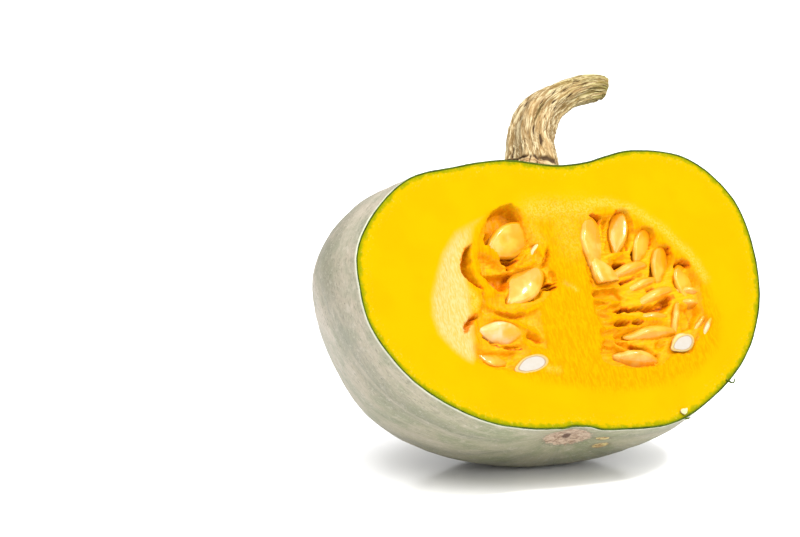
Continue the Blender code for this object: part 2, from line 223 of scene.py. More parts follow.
# Folds and strings (raised) and slits (sunk): height, half width, and a line on the face.
FOLDS = [
    (2.6, 3, [
        (-40.9, 20.1), (-43.1, 14.5), (-43.3, 9.7), (-41.9, 5.1), (-39.1, 1.1), (-36.3, -2.2),
        (-32.7, -4.3),
    ]),
    (1.4, 0.8, [(-40.3, 4.6), (-37.6, 1), (-33.7, -1.7), (-28.7, -2.8)]),
    (2.2, 1.5, [
        (-39.1, -4.2), (-38.9, -7.7), (-35.9, -9.9), (-31, -11.1), (-25.2, -11.3), (-19.3, -9.8),
        (-13.8, -7.3), (-9.3, -4.5),
    ]),
    (-3, 0.9, [(-35.3, -10.3), (-30.5, -12.3), (-24.8, -12.7), (-20.5, -11.5)]),
    (1.5, 0.9, [(-24.6, 11.3), (-19.5, 10.8), (-14.7, 12.7), (-10, 14.3)]),
    (1.5, 1.1, [(-21.9, 12.4), (-17.6, 15.5), (-14.1, 18.2), (-8.5, 21.1)]),
    (1.3, 1, [(-7.9, 20.6), (-7.4, 17), (-9.1, 13.2)]),
    (-3, 1, [(-4.5, 20.9), (-5.9, 16.5), (-7.9, 12.4)]),
    (2.2, 3, [(-41.9, 27.8), (-40.7, 21.9), (-35.3, 18.8), (-30.5, 15.6), (-27.4, 14.9)]),
    (1.5, 1.3, [
        (-41.4, -13.8), (-33.8, -13.8), (-26.2, -14.4), (-21.4, -17), (-15.2, -19), (-11.8, -22.8),
    ]),
    (1.5, 1.9, [(-21, -18.8), (-22.2, -23.6), (-18.7, -26.3), (-14.3, -27.3)]),
    (2, 3, [(-44.1, -15.2), (-47.2, -20.1), (-46.4, -24.7), (-43.6, -27.5)]),
    (-2.2, 0.8, [(-40.2, -1.6), (-39.9, -5.4), (-40.7, -11.4)]),
    (-8, 1.3, [(-28.1, 14.1), (-25, 12.9), (-21.4, 14.9)]),
    (-6, 0.8, [(-25.7, 10.6), (-24.8, 10.6)]),
    (-5, 0.5, [(-7.4, 3.4), (-3.7, 4.3)]),
    (-5.5, 0.8, [(-6.9, 2), (-3.4, 3)]),
    (-4.5, 0.6, [(-41.2, -22.7), (-38.2, -24.7), (-35.3, -25.1)]),
    (-4.5, 0.5, [(-32, -25.9), (-28.9, -26.2), (-24.2, -25.6)]),
    (-2.2, 1, [(-3.9, 10.6), (-3.7, 7), (-3, 4.7)]),
    (-5, 0.8, [(-36.1, 20.2), (-34.1, 23.7), (-29.7, 28.6)]),
    (-2.8, 1.2, [(-19.6, -20.2), (-16.8, -21.4), (-12.2, -23.2)]),
    (-2.5, 0.7, [(-12.6, 25.3), (-14.9, 21.5), (-20.2, 15.9), (-23.1, 12)]),
    (2.2, 1.1, [(16.7, 3.3), (22.1, 4), (28.2, 5.4), (32.2, 5.4)]),
    (2.2, 1, [(15.5, -1.1), (21.4, -1.2), (27.3, -1.3), (31.3, -1.6)]),
    (2.2, 1, [(18.1, -6.3), (24.4, -3.4), (30.6, -1.7)]),
    (2.6, 1.3, [(18.7, -6.8), (26.4, -8.7), (33, -8.5), (39.8, -8.3)]),
    (2.6, 1.3, [(18.7, -11.7), (26.1, -10.5), (35.6, -9.5), (45.1, -8.5), (53.3, -7.2)]),
    (2.6, 1.4, [(18.9, -15.2), (26.3, -14.1), (35.2, -12.5), (44.8, -10.9)]),
    (2.6, 1.3, [(26.5, 18.1), (30.8, 20.3), (36.5, 22.6)]),
    (2.2, 1.3, [(16.2, -20.8), (21, -19.6), (24.9, -20.2), (27.8, -23), (32.3, -24.5)]),
    (2, 1.6, [(15.5, -21.5), (15.5, -26.8), (17.6, -30.9), (22, -32.4)]),
    (-6, 0.9, [(27.3, -12), (32.7, -11)]),
    (-6, 0.7, [(36.4, -10.9), (40.5, -10.2)]),
    (-4, 1.3, [(25.5, -20.5), (30.1, -20.9), (34.6, -21.6), (39, -23.7), (42.8, -25.5), (48.3, -28.8)]),
    (-2, 0.7, [(68.9, -12.2), (68.8, -15.8), (64.4, -22.5), (59.1, -23.7)]),
    (-3.5, 0.8, [(36.6, 43.5), (38.4, 42.2), (40.1, 37.1), (40.1, 30.3), (37.8, 24.9)]),
    (-3.5, 0.8, [(47.7, 35.3), (50.9, 34.5), (52, 31.4), (50.2, 26.9)]),
    (-3.5, 0.7, [(59, 26.4), (60.3, 22.2), (58.8, 17.1)]),
    (-2.5, 0.6, [(16.7, 0.7), (19.6, 0.3)]),
    (-2.5, 0.5, [(17.3, 7.8), (18.1, 6.4)]),
]
# Dark orange marks: painted shade in the cracks, slits and hollows and along the seeds' edges, and a faint
# stain on the flesh by the rim: strength, half width, and a line on the face.
SHADE_AND_STAIN_LINES = [
    (1, 1.2, [(-26, 14), (-22.6, 13.6), (-20.4, 14.6)]),
    (0.6, 0.7, [(-24.4, 11.2), (-22.6, 11.4)]),
    (0.3, 2.6, [(-21.8, 37.6), (-18.4, 35.8), (-16.8, 32.8)]),
    (0.7, 1.3, [(-46.4, 17), (-48.6, 13), (-48.5, 7.9), (-47.2, 4)]),
    (0.85, 0.7, [(-46.6, 3.6), (-43.9, 1.6), (-41.7, 0.2), (-39.8, -1.2)]),
    (0.55, 2.2, [(-23.6, 6.6), (-26, 2.4), (-29, 4.6)]),
    (1, 0.45, [(-5.8, 4.4), (-3, 4.8)]),
    (1, 0.5, [(-5.2, 2.2), (-2.8, 3)]),
    (0.45, 0.8, [(-4, 20.6), (-6, 14.8)]),
    (0.3, 2, [(-2.8, 8.4), (1.5, 5.7), (4.5, 3.5)]),
    (0.5, 0.6, [(-31.8, -10.9), (-25.5, -12.3), (-19.6, -11.6)]),
    (0.8, 1.1, [(-45, -13.8), (-48.4, -17.6), (-51.2, -21.6)]),
    (1, 0.5, [(-39.2, -24.2), (-36.6, -26), (-33.4, -26.6)]),
    (1, 0.45, [(-32, -27.4), (-27.4, -28), (-23, -27.2)]),
    (0.55, 0.8, [(-18, -20.9), (-14.1, -22.6), (-11.7, -23.3)]),
    (0.75, 1.1, [(20.4, 38.9), (24.2, 38.3), (24.8, 35.6)]),
    (0.9, 0.5, [(33.4, 42.4), (37, 42.6), (39.4, 38), (39.9, 31), (38.4, 24.6)]),
    (0.9, 0.6, [(46.8, 34.6), (50.4, 34.6), (51.8, 31.9), (50.6, 26.6)]),
    (0.85, 0.6, [(55, 26.8), (59.2, 27), (60, 24.6)]),
    (0.9, 1.3, [(63.9, 19.6), (66.5, 20.6), (69, 19.8)]),
    (0.95, 1.4, [(30.6, 16.6), (35.6, 17.2)]),
    (0.85, 0.7, [(33.6, 8.8), (40.3, 11)]),
    (0.85, 0.7, [(46.3, 5.4), (50.5, 7)]),
    (0.75, 1.3, [(56.2, 3), (60.4, 4)]),
    (0.95, 0.9, [(31.6, -3.8), (37, -4), (43, -3.4), (49.9, -2.2), (57.4, 1)]),
    (0.8, 0.45, [(29.9, -10.7), (34.2, -10.4)]),
    (0.8, 0.45, [(38.7, -9.9), (41.8, -9.3)]),
    (0.7, 1, [(35.4, -21), (40.1, -22.8), (44.4, -23.9)]),
    (0.4, 1.6, [(18, -15.5), (20, -14.4)]),
    (0.7, 0.5, [(16, 1.6), (19.4, 1.4)]),
    (0.4, 0.3, [(10.7, 24.4), (12.1, 20.3)]),
    (0.4, 0.3, [(8.8, 20), (10.3, 15.8)]),
    (0.45, 0.9, [(67, -1), (69.6, -5.2), (68, -10)]),
    (0.22, 0.7, [(53.1, -39.2), (55.8, -46.1), (59.1, -52.9)]),
]
# Pale, granular or fibrous parts of the pulp: strength, half width, and a line on the face.
PALES = [
    (0.6, 4.5, [(-11, 38.5), (-2.6, 40), (8, 40.5), (17, 42)]),
    (0.35, 6, [(6, 34), (8, 24)]),
    (0.6, 2.2, [
        (18, 44.6), (30, 46), (43.6, 43.6), (49.5, 40), (57.4, 36), (63, 30.4), (69, 25.6), (73.6, 19.6),
        (76.7, 14),
    ]),
    (0.8, 1.8, [(-46.4, -3.4), (-44.4, -6.4), (-45.6, -10)]),
    (0.5, 1.5, [(-11.3, -35.9), (-6.2, -36.1)]),
    (0.6, 1, [(2, 5.2), (7.6, 2.6)]),
    (0.35, 3, [(-12, 30), (-9, 25)]),
]
# The outline of all the pulp on the face.
PULP_OUTLINE = [
    (-12, 40), (0, 46), (18, 44), (26, 46), (46, 42), (62, 30), (78, 14), (84, -4), (80, -20), (66, -34),
    (44, -42), (20, -46), (-4, -44), (-26, -42), (-46, -36), (-52, -20), (-50, 0), (-46, 20), (-34, 36),
]

# Seeds: across, up, depth of the middle, turn in the face, turn about the length, length, width as a
# share of it, and how it looks.
SEEDS = [
    (-21.4, 24.5, 5.4, 30, 10, 27, 0.58, "amber"),
    (-9, 21.6, 4.2, 47, 78, 14, 0.5, "pale"),
    (-17, 3.8, 4.4, 48, -16, 26, 0.57, "wet"),
    (-31.8, -20.2, 3.2, -2, 32, 21, 0.52, "pale"),
    (-36.5, -30.5, 6, -14, -20, 17, 0.62, "amber"),
    (-19.2, -34.6, 0.5, 19, 24, 17.5, 0.54, "cut"),
    (20, 27, 3.2, 87, 25, 25, 0.64, "wet"),
    (35.8, 34, 5, 76, -30, 22, 0.42, "amber"),
    (47.7, 28.8, 5, 62, 25, 18.5, 0.6, "amber"),
    (56.3, 20, 5, 72, 28, 19, 0.7, "amber"),
    (67, 12.5, 4.6, 96, 14, 17, 0.6, "amber"),
    (25, 10, 2.2, -54, -10, 22, 0.56, "broken"),
    (38.6, 14.8, 5.6, 21, 66, 24, 0.46, "amber"),
    (44.2, 8.2, 6, 23, 70, 21, 0.48, "amber"),
    (51, 3.8, 5.6, 24, 68, 25, 0.36, "amber"),
    (70.2, 7.2, 5, -5, 64, 15, 0.5, "wet"),
    (70, 1.8, 5.4, -2, 70, 15, 0.5, "wet"),
    (48.5, -6.6, 6, 5, 70, 20, 0.42, "wet"),
    (60.5, -6, 4.5, 75, 62, 18, 0.5, "wet"),
    (46.6, -14.6, 4.8, 9, 60, 28, 0.34, "amber"),
    (60.2, -18.6, 0.5, 30, -14, 13.5, 0.66, "cut"),
    (73.2, -7.4, 3.6, 47, 60, 12, 0.5, "wet"),
    (75, -10, 1.2, 59, 64, 11, 0.5, "pale"),
    (37.5, -27.6, 5, -6, 48, 23, 0.48, "wet"),
]
SEED_THICKNESS = 0.22
SEED_SIDES = 48
SEED_RINGS = 32
SEED_WOBBLE = 0.25
# How much smaller each part of a cut seed's cap is than the one around it.
CAP_SHARES = (0.87, 0.88, 0.5)

# Scraps left by the knife: name, middle, turn in the face, reach and material.
SCRAPS = [
    ("skin_curl", (82.6, -15.0, -36.2), -20, (2.4, 0.5, 0.5), "skin_edge"),
    ("curl_tip", (84.6, -15.4, -35.6), 60, (1.3, 0.4, 0.35), "skin_edge"),
    ("crumb", (56.0, -15.4, -51.6), 30, (2.0, 0.9, 1.3), "crumb"),
    ("skin_shred", (57.4, -15.2, -55.0), 15, (2.2, 0.4, 0.4), "skin_edge"),
]

# The stem's centre line from the middle of the fruit: across, back, up and half width.
STEM_LINE = [
    (-1, 1, 57, 14.5), (-0.8, 0.5, 62, 13.4), (0.2, 0, 67, 11.8), (0.6, -0.3, 72.5, 10.6),
    (1, -0.5, 79.5, 9.6), (4.2, -1, 88.4, 9.1), (9, -2, 95, 8.1), (15.8, -3, 99.9, 7),
    (23.2, -4, 103.6, 6.3), (30.6, -5, 106, 5.9), (37.2, -6, 106.8, 5.4), (40.2, -6.5, 106, 4.3),
]
STEM_RIBS = 6
STEM_RIB_DEPTH = 0.12
STEM_TWIST = math.radians(40)
STEM_FOOT_CRACK = 9.3  # how far along the stem the crack round its foot is
STEM_STREAK = math.radians(-100)  # where the green streak is
STEM_AROUND = 200
STEM_ALONG = 230
STEM_END_RINGS = 6

# The camera stands where the photograph was taken from.
CAMERA_AIM = Vector((-80.3, -CUT_IN_FRONT, 4.9))
CAMERA_DISTANCE = 1.292
CAMERA_ACROSS = math.radians(-30.4)
CAMERA_ABOVE = math.radians(8.7)
CAMERA_LENS = 135
CAMERA_SENSOR = 36

WORLD_LIGHT = 0.95
DIMMED = 0.41  # every colour is taken down by this, to suit so bright a studio
# Two soft boxes: name, degrees to the right, degrees up, distance, size and watts.
BOXES = [
    ("left_box", -62, 48, 1.3, 0.7, 13),
    ("right_box", 30, 48, 1.2, 0.09, 8),
]
# Two lit walls of the light tent: name, degrees to the right, degrees up, degrees wide, strength.
WALLS = [
    ("ceiling", 0, 75, 70, 2.7),
    ("front_wall", 5, 28, 45, 2.5),
]
WALL_DISTANCE = 2.0
LIGHTS_AIM_UP = 0.08  # all lights look at a point this high above the floor's middle
FLOOR_REACH = 12
FLOOR_WHITE = 0.93

# How many points are tried, round and up, to find where the fruit lies.
FIT_AROUND = 240
FIT_UP = 160

TURNED = (
    Matrix.Rotation(-LEAN_BACK, 4, "X") @ Matrix.Rotation(RIGHT_SIDE_DOWN, 4, "Y")
    @ Matrix.Scale(MM, 4)
)


def along(points, share):
    """The point at a share of the way along a Catmull-Rom curve through the points."""
    place = share * (len(points) - 1)
    start = min(int(place), len(points) - 2)
    t = place - start
    before, a, b, after = (
        Vector(points[min(max(start + step, 0), len(points) - 1)]) for step in (-1, 0, 1, 2)
    )
    return 0.5 * (
        2 * a + (b - before) * t + (2 * before - 5 * a + 4 * b - after) * t**2
        + (3 * a - before - 3 * b + after) * t**3
    )


def fruit_point(turn, share):
    """A point of the whole fruit's skin: turn runs round the axis from the right over the back,
    and share from the stem end to the blossom end."""
    right = max(0.0, math.cos(turn)) ** 2
    left = max(0.0, -math.cos(turn)) ** 2
    profile = (
        along(RIGHT_PROFILE, share) * right
        + along(LEFT_PROFILE, share) * left
        + along(BACK_PROFILE, share) * (1 - right - left)
    )
    middle = math.sin(math.pi * share)
    groove = 1 - abs(math.sin(RIB_COUNT / 2 * (turn + RIB_TURN))) ** 0.7
    out = max(0.0, profile.x - RIB_DEPTH * groove * middle**0.7)
    for direction, height, reach_round, reach_up, swelling in SWELLINGS:
        aside = (math.degrees(turn) - direction + 180) % 360 - 180
        level = (profile.y - height) / reach_up
        out += swelling * math.exp(-((aside / reach_round) ** 2) - level**2) * middle
    return Vector((out * math.cos(turn), out * math.sin(turn), profile.y))


def where_the_fruit_lies():
    """The fruit's middle in the frame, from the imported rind's box and the shape it was made from."""
    low, high = (Vector(corner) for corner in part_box("rind"))
    whole = (
        fruit_point(math.tau * turn / FIT_AROUND, share / FIT_UP)
        for turn in range(FIT_AROUND) for share in range(FIT_UP + 1)
    )
    points = [TURNED @ point for point in whole if point.y > -CUT_IN_FRONT]
    across = [point.x for point in points]
    return Vector((
        (low.x + high.x - min(across) - max(across)) / 2,
        high.y - max(point.y for point in points),
        -min(point.z for point in points) - PRESSED_IN * MM,
    ))


LYING = Matrix.Translation(where_the_fruit_lies()) @ TURNED


def uv_sphere_of_fruit(around, up, inset):
    """The whole fruit's skin as a sphere of vertices, moved in by the inset."""
    bm = bmesh.new()
    bmesh.ops.create_uvsphere(bm, u_segments=around, v_segments=up, radius=1)
    meridian = bm.verts.layers.float_vector.new("meridian")
    for vertex in bm.verts:
        turn = math.atan2(vertex.co.y, vertex.co.x)
        share = math.acos(max(-1.0, min(1.0, vertex.co.z))) / math.pi
        vertex[meridian] = Vector((math.cos(turn), math.sin(turn), share))
        vertex.co = fruit_point(turn, share)
        if share > 0.5:
            away = Vector((vertex.co.x - NOTCH[0], vertex.co.y - NOTCH[1])).length / NOTCH[2]
            vertex.co.z += NOTCH[3] * math.exp(-(away**4))
    bm.normal_update()
    for vertex, normal in [(vertex, vertex.normal.copy()) for vertex in bm.verts]:
        vertex.co -= normal * inset
    return bm


def cut_front_away(bm):
    """Cuts away what is in front of the knife plane and gives the open edge."""
    everything = bm.verts[:] + bm.edges[:] + bm.faces[:]
    cut = bmesh.ops.bisect_plane(
        bm, geom=everything, plane_co=(0, -CUT_IN_FRONT, 0), plane_no=(0, -1, 0),
        clear_outer=True, dist=1e-5,
    )["geom_cut"]
    return [edge for edge in cut if isinstance(edge, bmesh.types.BMEdge)]


def next_ring(bm, edges):
    """Extrudes the open edges, and gives the new vertices and the new open edges."""
    made = bmesh.ops.extrude_edge_only(bm, edges=edges)["geom"]
    vertices = [part for part in made if isinstance(part, bmesh.types.BMVert)]
    return vertices, [part for part in made if isinstance(part, bmesh.types.BMEdge) and part.is_boundary]


def add_object(name, data):
    obj = bpy.data.objects.new(name, data)
    bpy.context.scene.collection.objects.link(obj)
    return obj


def object_from(name, bm):
    mesh = bpy.data.meshes.new(name)
    bm.to_mesh(mesh)
    bm.free()
    return add_object(name, mesh)


def lay_down(name, bm, lowest=0.0):
    """Turns a shape made in the fruit's frame into an object where the half lies, and presses flat
    what is under the lowest height in mm."""
    bmesh.ops.transform(bm, matrix=LYING, verts=bm.verts)
    for vertex in bm.verts:
        vertex.co.z = max(vertex.co.z, lowest * MM)
    obj = object_from(name, bm)
    obj.data.shade_smooth()
    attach(obj, "root")
    return obj


# Materials


class Paint:
    """A material's nodes, made with one short call each."""

    def __init__(self, name, **constants):
        self.material = bpy.data.materials.new(name)
        self.material.use_nodes = True
        self.nodes = self.material.node_tree.nodes
        self.links = self.material.node_tree.links
        self.shader = self.nodes["Principled BSDF"]
        for socket, value in constants.items():
            self.shader.inputs[socket.replace("_", " ")].default_value = value

    def put(self, socket, value):
        if isinstance(value, bpy.types.NodeSocket):
            self.links.new(value, socket)
        elif isinstance(value, (tuple, list)) and socket.type == "RGBA":
            socket.default_value = (*[DIMMED * part for part in value[:3]], 1)
        else:
            socket.default_value = value

    def add(self, kind, **values):
        node = self.nodes.new("ShaderNode" + kind)
        for socket, value in values.items():
            self.put(node.inputs[socket.replace("_", " ")], value)
        return node

    def attribute(self, name):
        node = self.nodes.new("ShaderNodeAttribute")
        node.attribute_name = name
        return node

    def parts(self, vector):
        return self.add("SeparateXYZ", Vector=vector).outputs

    def place(self, scale=(1, 1, 1)):
        """Object coordinates in mm, stretched by the scale."""
        where = self.nodes.new("ShaderNodeTexCoord").outputs["Object"]
        return self.stretch(where, [1000 * part for part in scale])

    def stretch(self, vector, scale):
        return self.add("Mapping", Vector=vector, Scale=scale).outputs[0]

    def noise(self, vector, scale=1.0, detail=3.0, rough=0.55, twist=0.0):
        node = self.add(
            "TexNoise", Vector=vector, Scale=scale, Detail=detail, Roughness=rough, Distortion=twist,
        )
        return node.outputs["Fac"]

    def span(self, value, low, high, to_low=0.0, to_high=1.0):
        node = self.add("MapRange", Value=value, From_Min=low, From_Max=high, To_Min=to_low, To_Max=to_high)
        node.interpolation_type = "SMOOTHSTEP"
        return node.outputs["Result"]

    def calc(self, operation, a, b=0.0):
        node = self.nodes.new("ShaderNodeMath")
        node.operation = operation
        self.put(node.inputs[0], a)
        self.put(node.inputs[1], b)
        return node.outputs[0]

    def mix(self, share, a, b):
        node = self.nodes.new("ShaderNodeMix")
        node.data_type = "RGBA"
        self.put(node.inputs["Factor"], share)
        self.put(node.inputs[6], a)
        self.put(node.inputs[7], b)
        return node.outputs[2]

    def over(self, colour, other, value, low, high, most=1.0):
        """Lays the other colour over the first as the value goes from low to high."""
        return self.mix(self.span(value, low, high, 0, most), colour, other)

    def bump(self, height, strength, distance):
        node = self.add("Bump", Strength=strength, Distance=distance, Height=height)
        self.put(self.shader.inputs["Normal"], node.outputs[0])

    def finish(self, colour, roughness=None):
        self.put(self.shader.inputs["Base Color"], colour)
        if roughness is not None:
            self.put(self.shader.inputs["Roughness"], roughness)
        return self.material


def skin_material():
    paint = Paint("skin", Roughness=0.5, Specular_IOR_Level=0.35)
    meridian = paint.attribute("meridian").outputs["Vector"]
    round_x, round_y, level = paint.parts(meridian)
    place = paint.place()
    streaks = paint.noise(paint.stretch(meridian, (70, 70, 34)), 1, 4, 0.65, 0.9)
    broad = paint.noise(paint.stretch(meridian, (14, 14, 6)), 1, 4, 0.6, 0.8)
    blotch = paint.noise(place, 0.055, 5, 0.62, 0.3)
    mottle = paint.noise(place, 0.24, 5, 0.65, 0.5)
    fine = paint.noise(place, 0.6, 4, 0.7)
    specks = paint.noise(paint.stretch(meridian, (150, 150, 110)), 1, 2, 0.5)
    low = paint.span(level, 0.5, 0.9)
    near_pole = paint.span(level, 0.97, 0.84)
    grey = paint.mix(low, (0.657, 0.564, 0.428), (0.508, 0.477, 0.304))
    green = paint.mix(low, (0.459, 0.446, 0.31), (0.335, 0.36, 0.18))
    colour = paint.over(grey, green, blotch, 0.4, 0.62)
    # Painted shade along the rib grooves: darker green, ragged by the mottle, left off near the blossom
    # end.
    turn = paint.calc("ARCTAN2", round_y, round_x)
    ribs = paint.calc("SINE", paint.calc("MULTIPLY", paint.calc("ADD", turn, RIB_SHADE_TURN), RIB_COUNT / 2))
    groove = paint.span(paint.calc("ABSOLUTE", ribs), 0.75, 0.1)
    ragged_groove_shade = paint.calc("MULTIPLY", groove, paint.span(mottle, 0.3, 0.6, 0.1, 0.75))
    colour = paint.mix(paint.calc("MULTIPLY", ragged_groove_shade, near_pole), colour, (0.273, 0.273, 0.174))
    pale = paint.calc("MULTIPLY", near_pole, paint.span(broad, 0.5, 0.66, 0, 0.5))
    colour = paint.mix(pale, colour, (0.719, 0.632, 0.496))
    colour = paint.over(colour, (0.347, 0.335, 0.217), mottle, 0.46, 0.3, 0.55)
    colour = paint.over(colour, (0.769, 0.694, 0.558), mottle, 0.54, 0.7, 0.5)
    patchy = paint.calc("MULTIPLY", near_pole, paint.span(broad, 0.6, 0.4, 0.25, 1.0))
    dashes = paint.calc("MULTIPLY", patchy, paint.span(streaks, 0.48, 0.34, 0, 0.65))
    colour = paint.mix(dashes, colour, (0.322, 0.31, 0.205))
    dots = paint.calc("MULTIPLY", patchy, paint.span(specks, 0.6, 0.68, 0, 0.8))
    colour = paint.mix(dots, colour, (0.161, 0.161, 0.099))
    colour = paint.over(colour, (0.843, 0.781, 0.645), fine, 0.54, 0.72, 0.45)
    colour = paint.over(colour, (0.298, 0.298, 0.192), fine, 0.44, 0.3, 0.4)
    scars = paint.parts(paint.attribute("scars").outputs["Vector"])
    ragged = paint.span(fine, 0.3, 0.7, -0.1, 0.1)
    blossom, pip, cork = (paint.calc("ADD", scars[index], ragged) for index in range(3))
    grain = paint.noise(place, 0.45, 5, 0.65, 0.6)
    brown = paint.over((0.397, 0.236, 0.136), (0.818, 0.62, 0.446), grain, 0.36, 0.6)
    colour = paint.over(colour, (0.248, 0.248, 0.149), blossom, 1.2, 1.0, 0.6)
    colour = paint.over(colour, brown, blossom, 1.0, 0.94)
    colour = paint.over(colour, (0.174, 0.087, 0.05), pip, 1.0, 0.6)
    golden = paint.over((0.422, 0.211, 0.037), (0.95, 0.769, 0.31), grain, 0.4, 0.56)
    # A dark ring round each cork strip: its dark outline, with painted shadow along it.
    colour = paint.over(colour, (0.273, 0.236, 0.124), cork, 1.5, 1.0, 0.85)
    colour = paint.over(colour, golden, cork, 1.0, 0.85)
    behind = paint.attribute("behind_cut").outputs["Fac"]
    colour = paint.over(colour, (0.868, 0.868, 0.682), behind, 1.6, 0.7, 0.8)
    ups = paint.calc("ADD", paint.calc("MULTIPLY", streaks, 0.3), fine)
    paint.bump(ups, 0.4, 0.0004)
    return paint.finish(colour, paint.span(broad, 0.3, 0.7, 0.42, 0.58))


def skin_edge_material():
    paint = Paint("skin_edge", Roughness=0.6, Specular_IOR_Level=0.05)
    patches = paint.noise(paint.place(), 0.25, 3)
    patchy = paint.over((0.045, 0.075, 0.003), (0.11, 0.17, 0.006), patches, 0.3, 0.7)
    return paint.finish(patchy)


def crumb_material():
    paint = Paint("crumb", Roughness=0.6, Specular_IOR_Level=0.1)
    return paint.finish(paint.mix(paint.noise(paint.place(), 0.8, 3), (0.95, 0.7, 0.2), (0.98, 0.9, 0.6)))


def flesh_colour(paint):
    """The cut flesh: yellow, green by the skin, orange and fibrous in the pulp, with painted shade and glow
    that turn it darker orange with depth, and painted shade in its cracks.
    """
    looks = paint.parts(paint.attribute("looks").outputs["Vector"])
    depth, pulp, bevel = looks
    marks = paint.parts(paint.attribute("marks").outputs["Vector"])
    shade_and_stain, pale, edge = marks
    place = paint.place()
    soft = paint.noise(place, 0.05, 2)
    fine = paint.noise(place, 0.9, 3, 0.6)
    upright = paint.noise(paint.place((0.9, 0.5, 0.1)), 1, 4, 0.6, 0.8)
    lying = paint.noise(paint.place((0.16, 0.8, 0.9)), 1, 4, 0.6, 0.6)
    yellow = paint.over((0.9, 0.46, 0.0008), (0.92, 0.435, 0.0008), soft, 0.35, 0.65)
    orange = paint.over((0.95, 0.33, 0.0008), (0.95, 0.42, 0.001), upright, 0.36, 0.64)
    colour = paint.mix(pulp, yellow, orange)
    # Painted shade and glow of the hollows: deeper, stronger orange with depth, in place of the light
    # bounced round inside them.
    depth_shade_and_glow = paint.over((1.2, 0.38, 0.001), (1.15, 0.52, 0.002), lying, 0.36, 0.64)
    colour = paint.over(colour, depth_shade_and_glow, depth, 0.8, 3.5)
    colour = paint.over(colour, (1.4, 0.5, 0.001), depth, 5.0, 9.5, 0.85)
    grain = paint.noise(place, 1.1, 2)
    sandy = paint.over((0.95, 0.46, 0.01), (0.95, 0.6, 0.09), grain, 0.4, 0.6)
    colour = paint.mix(pale, colour, sandy)
    streak = paint.noise(paint.place((1.4, 0.6, 0.3)), 1, 3, 0.6)
    cream = paint.over((0.93, 0.5, 0.1), (0.95, 0.61, 0.23), streak, 0.35, 0.65)
    colour = paint.mix(paint.calc("MULTIPLY", bevel, paint.span(depth, 3.5, 2.4)), colour, cream)
    # Painted shade in the cracks, slits and hollows and along the seeds' edges, with the faint stain: dark
    # orange, then dark maroon where strongest.
    ragged_shade_and_stain = paint.calc("ADD", shade_and_stain, paint.span(grain, 0.3, 0.7, -0.12, 0.12))
    colour = paint.over(colour, (0.95, 0.21, 0.001), ragged_shade_and_stain, 0.15, 0.6, 0.9)
    colour = paint.over(colour, (0.26, 0.036, 0.003), ragged_shade_and_stain, 0.6, 1.0, 0.9)
    uneven = paint.noise(place, 0.3, 3)
    wavy = paint.calc("ADD", edge, paint.span(uneven, 0.3, 0.7, -0.8, 0.8))
    colour = paint.over(colour, (0.68, 0.47, 0.001), wavy, 5.2, 1.0, 0.9)
    colour = paint.over(colour, (0.27, 0.31, 0.002), wavy, 3.0, 0.0, 0.9)
    specks = paint.noise(place, 1.1, 2)
    dots = paint.calc("MULTIPLY", paint.span(specks, 0.6, 0.7), paint.span(edge, 8, 3, 0, 0.25))
    return paint.mix(dots, colour, (0.95, 0.66, 0.12)), fine, lying


def flesh_material():
    paint = Paint("flesh", Roughness=0.6, Specular_IOR_Level=0.0)
    colour, fine, _ = flesh_colour(paint)
    paint.bump(fine, 0.12, 0.0002)
    return paint.finish(colour)


def pulp_material():
    paint = Paint("wet_pulp", Roughness=0.3, Specular_IOR_Level=0.04)
    colour, fine, lying = flesh_colour(paint)
    paint.bump(paint.calc("ADD", fine, lying), 0.35, 0.0004)
    return paint.finish(colour)


def seed_material(look):
    """A wet seed, veiled by the pulp towards its broad end."""
    light, dark, veil = {
        "amber": ((1.05, 0.5, 0.03), (1.05, 0.41, 0.005), (1.1, 0.37, 0.002)),
        "wet": ((1.05, 0.52, 0.07), (1.05, 0.42, 0.012), (1.1, 0.37, 0.003)),
        "pale": ((1.0, 0.66, 0.32), (1.0, 0.57, 0.14), (1.05, 0.43, 0.01)),
    }[look]
    paint = Paint(
        f"seed_{look}", Roughness=0.35, Specular_IOR_Level=0.1, Coat_Weight=0.45, Coat_Roughness=0.14,
    )
    veiled = paint.attribute("veiled").outputs["Fac"]
    patch = paint.noise(paint.place(), 0.14, 2)
    colour = paint.over(dark, light, patch, 0.4, 0.6)
    uneven = paint.calc("ADD", veiled, paint.span(patch, 0.3, 0.7, 0.15, -0.15))
    colour = paint.over(colour, veil, uneven, 0.35, 0.75)
    paint.bump(paint.noise(paint.place(), 0.3, 2), 0.2, 0.0003)
    return paint.finish(colour)


def cut_seed_materials():
    """The shell's outside, its pale cut margin, the thin brown line and the white kernel."""
    made = [seed_material("pale")]
    for name, colour, other in (
        ("cut_shell", (0.75, 0.56, 0.2), (0.68, 0.46, 0.1)),
        ("shell_lining", (0.42, 0.26, 0.11), (0.6, 0.44, 0.26)),
        ("kernel", (0.67, 0.63, 0.58), (0.61, 0.54, 0.43)),
    ):
        paint = Paint(name, Roughness=0.4, Specular_IOR_Level=0.12)
        made.append(paint.finish(paint.mix(paint.noise(paint.place(), 0.5, 3), colour, other)))
    return made


